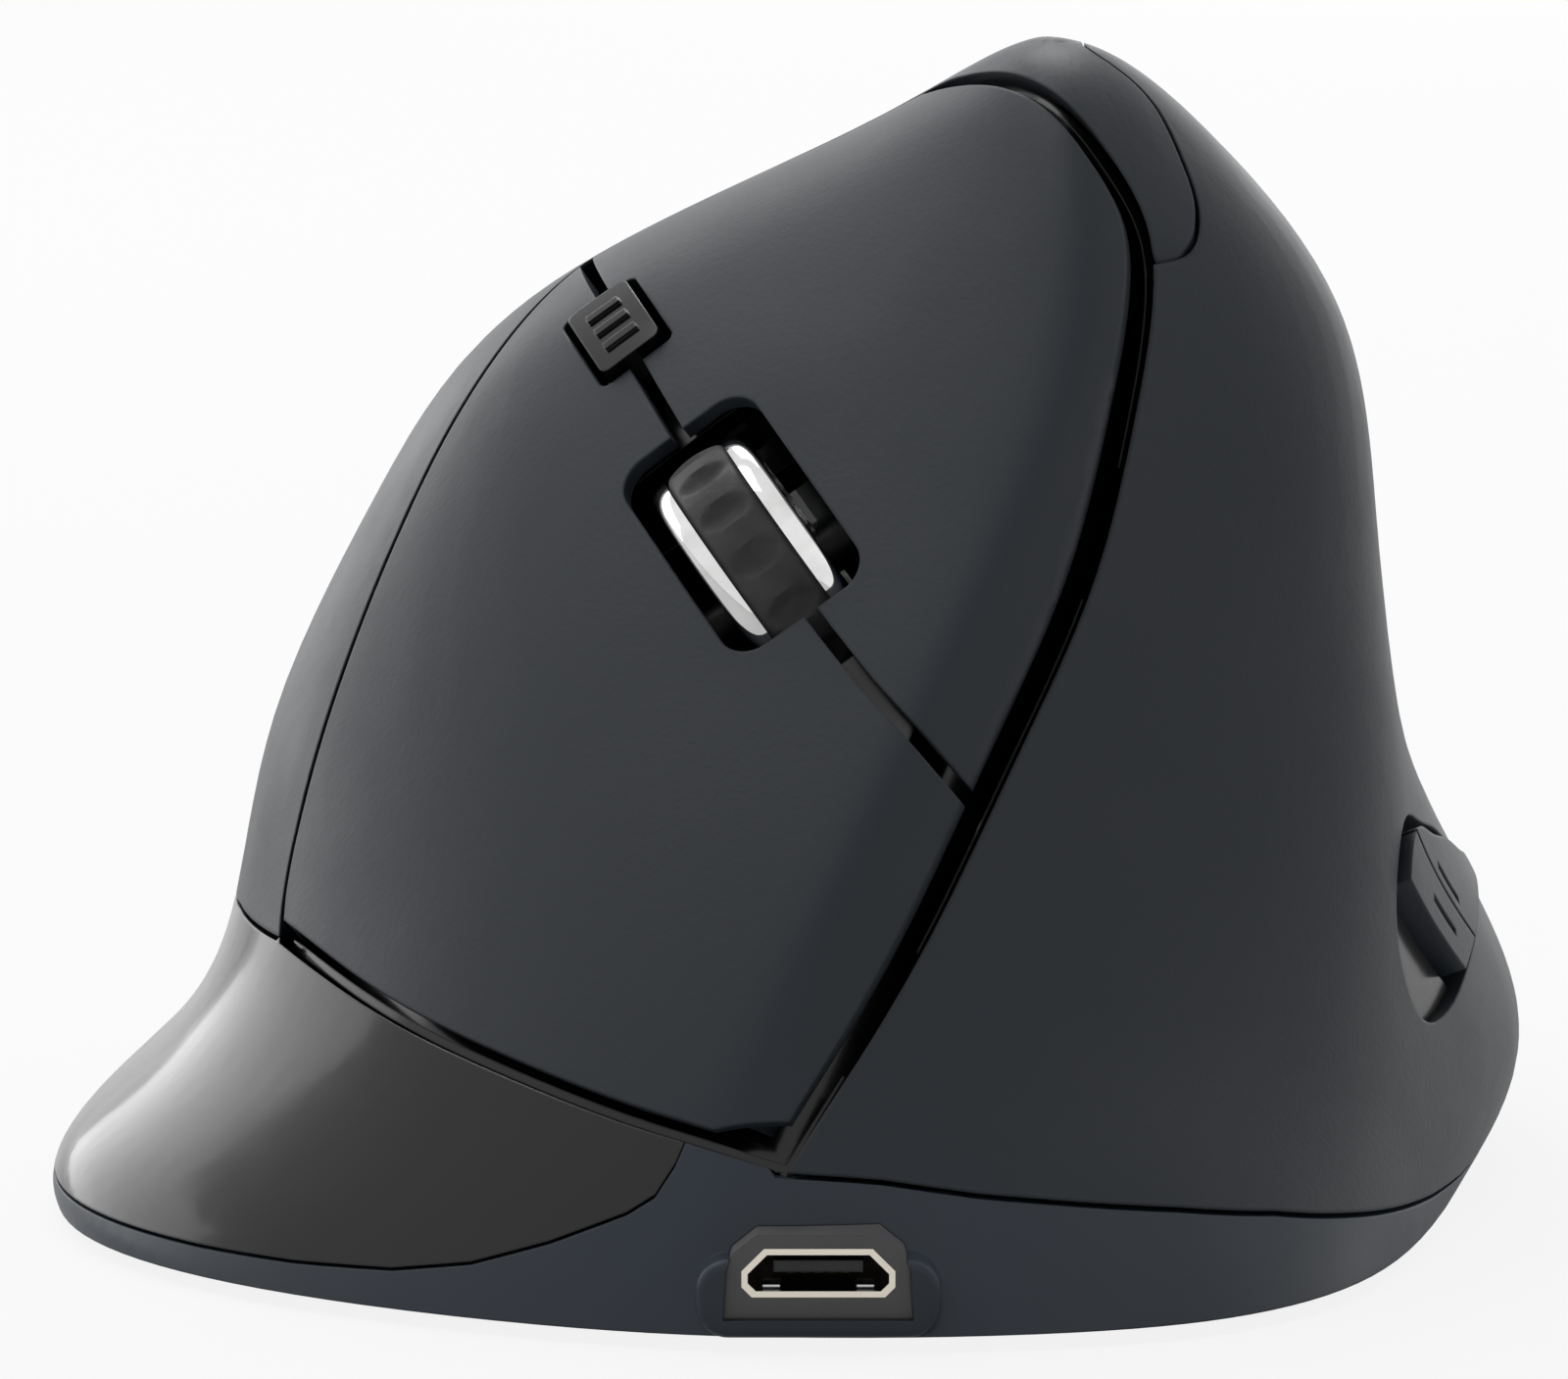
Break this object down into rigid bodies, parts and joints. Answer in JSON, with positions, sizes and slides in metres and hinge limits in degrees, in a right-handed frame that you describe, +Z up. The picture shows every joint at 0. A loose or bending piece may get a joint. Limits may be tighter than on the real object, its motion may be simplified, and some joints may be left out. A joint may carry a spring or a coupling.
{
  "type": "upright wireless mouse",
  "caption": "Upright right-handed computer mouse with two sloping keys, scroll wheel, resolution button, thumb buttons and charging port.",
  "frame": {"origin": "on the desk, under the middle of the body", "axes": "+X towards the thumb side, +Y from the charging port at the nose to the heel, +Z up"},
  "size_m": [0.0778, 0.1091, 0.0608],
  "materials": {
    "soft_black": "matt soft-touch",
    "gloss_black": "glossy",
    "base_black": "fine matt",
    "dark_rubber": "matt rubber",
    "bright_ring": "polished",
    "steel": "drawn",
    "grey_plastic": "satin",
    "switch_black": "satin",
    "board_green": "lacquered",
    "clear_lens": "clear",
    "cell_blue": "film",
    "slick_grey": "slick"
  },
  "bodies": {
    "case": {"base_shell": "base_black", "thumb_cover": "soft_black", "palm_cover": "soft_black", "finger_lip": "gloss_black", "key_frame": "gloss_black", "side_bezel": "gloss_black", "index_switch": "switch_black", "middle_switch": "switch_black", "dpi_switch": "switch_black", "wheel_switch": "switch_black", "forward_switch": "switch_black", "back_switch": "switch_black", "upper_board": "board_green", "thumb_board": "board_green", "main_board": "board_green", "port_shell": "steel", "port_tongue": "switch_black", "port_bezel": "grey_plastic", "power_switch": "switch_black", "battery": "cell_blue", "sensor_chip": "switch_black", "sensor_lens": "clear_lens", "foot_front_left": "slick_grey", "foot_front_right": "slick_grey", "foot_rear_left": "slick_grey", "foot_rear_right": "slick_grey", "case_screw_1": "steel", "case_screw_2": "steel", "case_screw_3": "steel", "case_screw_4": "steel", "middle_hinge_pin": "steel", "index_hinge_pin": "steel"},
    "index_click": {"index_key": "soft_black"},
    "middle_click": {"middle_key": "soft_black"},
    "index_press": {"index_plunger": "grey_plastic"},
    "middle_press": {"middle_plunger": "grey_plastic"},
    "wheel_cradle": {"wheel_carrier": "switch_black", "wheel_encoder": "switch_black"},
    "wheel": {"wheel_hub": "switch_black", "wheel_tyre": "dark_rubber", "wheel_ring_left": "bright_ring", "wheel_ring_right": "bright_ring", "wheel_axle": "steel"},
    "dpi": {"dpi_button": "gloss_black"},
    "forward": {"forward_button": "soft_black"},
    "back": {"back_button": "soft_black"},
    "power": {"power_slider": "grey_plastic"}
  },
  "joints": [
    {"name": "index_key_click", "type": "hinge", "parent": "case", "child": "index_click", "pos_m": [-0.00824, -0.00749, 0.04295], "axis": [0.8099, 0.0534, 0.5841], "range_deg": [0, 0.9], "stiffness_Nm_per_rad": 0.9, "springref_deg": -0.46},
    {"name": "middle_key_click", "type": "hinge", "parent": "case", "child": "middle_click", "pos_m": [-0.00824, -0.00749, 0.04295], "axis": [0.8099, 0.0534, 0.5841], "range_deg": [0, 0.9], "stiffness_Nm_per_rad": 0.9, "springref_deg": -0.46},
    {"name": "index_plunger_press", "type": "slide", "parent": "case", "child": "index_press", "axis": [0.3837, 0.705, -0.5965], "range_m": [0, 0.0005]},
    {"name": "middle_plunger_press", "type": "slide", "parent": "case", "child": "middle_press", "axis": [0.3837, 0.705, -0.5965], "range_m": [0, 0.0005]},
    {"name": "wheel_click", "type": "slide", "parent": "case", "child": "wheel_cradle", "axis": [0.3837, 0.705, -0.5965], "range_m": [0, 0.0005], "stiffness_N_per_m": 2000, "springref_m": -0.0003},
    {"name": "wheel_spin", "type": "hinge", "parent": "wheel_cradle", "child": "wheel", "pos_m": [-0.00076, -0.02672, 0.03391], "axis": [0.8099, 0.0534, 0.5841], "continuous": true},
    {"name": "dpi_press", "type": "slide", "parent": "case", "child": "dpi", "axis": [0.3837, 0.705, -0.5965], "range_m": [0, 0.0004], "stiffness_N_per_m": 1500, "springref_m": -0.0003},
    {"name": "forward_press", "type": "slide", "parent": "case", "child": "forward", "axis": [-0.9326, 0.0931, -0.3486], "range_m": [0, 0.0006], "stiffness_N_per_m": 1500, "springref_m": -0.0003},
    {"name": "back_press", "type": "slide", "parent": "case", "child": "back", "axis": [-0.9326, 0.0931, -0.3486], "range_m": [0, 0.0006], "stiffness_N_per_m": 1500, "springref_m": -0.0003},
    {"name": "power_slide", "type": "slide", "parent": "case", "child": "power", "axis": [0, 1, 0], "range_m": [0, 0.0025]}
  ],
  "couplings": [
    {"joint": "index_plunger_press", "follows": "index_key_click", "m_per_rad": 0.0235},
    {"joint": "middle_plunger_press", "follows": "middle_key_click", "m_per_rad": 0.0295}
  ]
}
